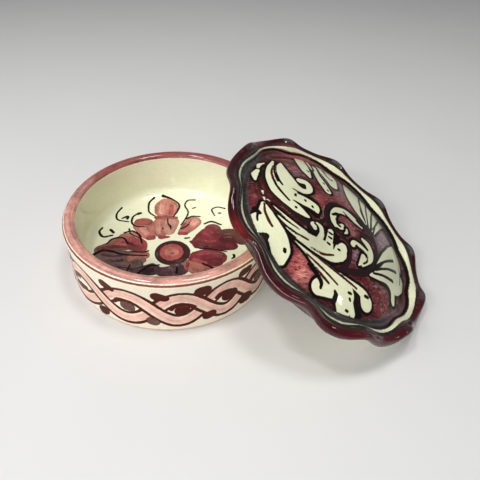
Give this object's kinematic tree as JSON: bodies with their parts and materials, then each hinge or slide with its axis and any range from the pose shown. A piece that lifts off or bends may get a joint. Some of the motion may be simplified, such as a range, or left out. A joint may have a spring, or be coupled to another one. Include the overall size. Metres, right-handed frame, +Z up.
{
  "type": "keepsake box",
  "caption": "Small round glazed earthenware keepsake box: an open dish with a loose domed lid, its brim pinched into waves, leaning on the dish's rim.",
  "frame": {"origin": "centre of the dish's flat base, on the surface it stands on", "axes": "+Z up along the dish's axis, +X towards the side that the lid leans on, +Y away from the viewer"},
  "size_m": [0.168, 0.12, 0.0581],
  "materials": {
    "dish_glaze": "clear gloss glaze over cream slip, painted with a rose rim, a two-strand braid and a flower",
    "lid_glaze": "clear gloss glaze over brushed crimson with cream leaf scrolls and a cream line round the brim"
  },
  "bodies": {
    "dish": {"dish": "dish_glaze"},
    "lid": {"lid": "lid_glaze"}
  },
  "joints": [
    {"name": "lid_lift", "type": "slide", "parent": "dish", "child": "lid", "axis": [0, 0, 1], "range_m": [0, 0.06]}
  ]
}
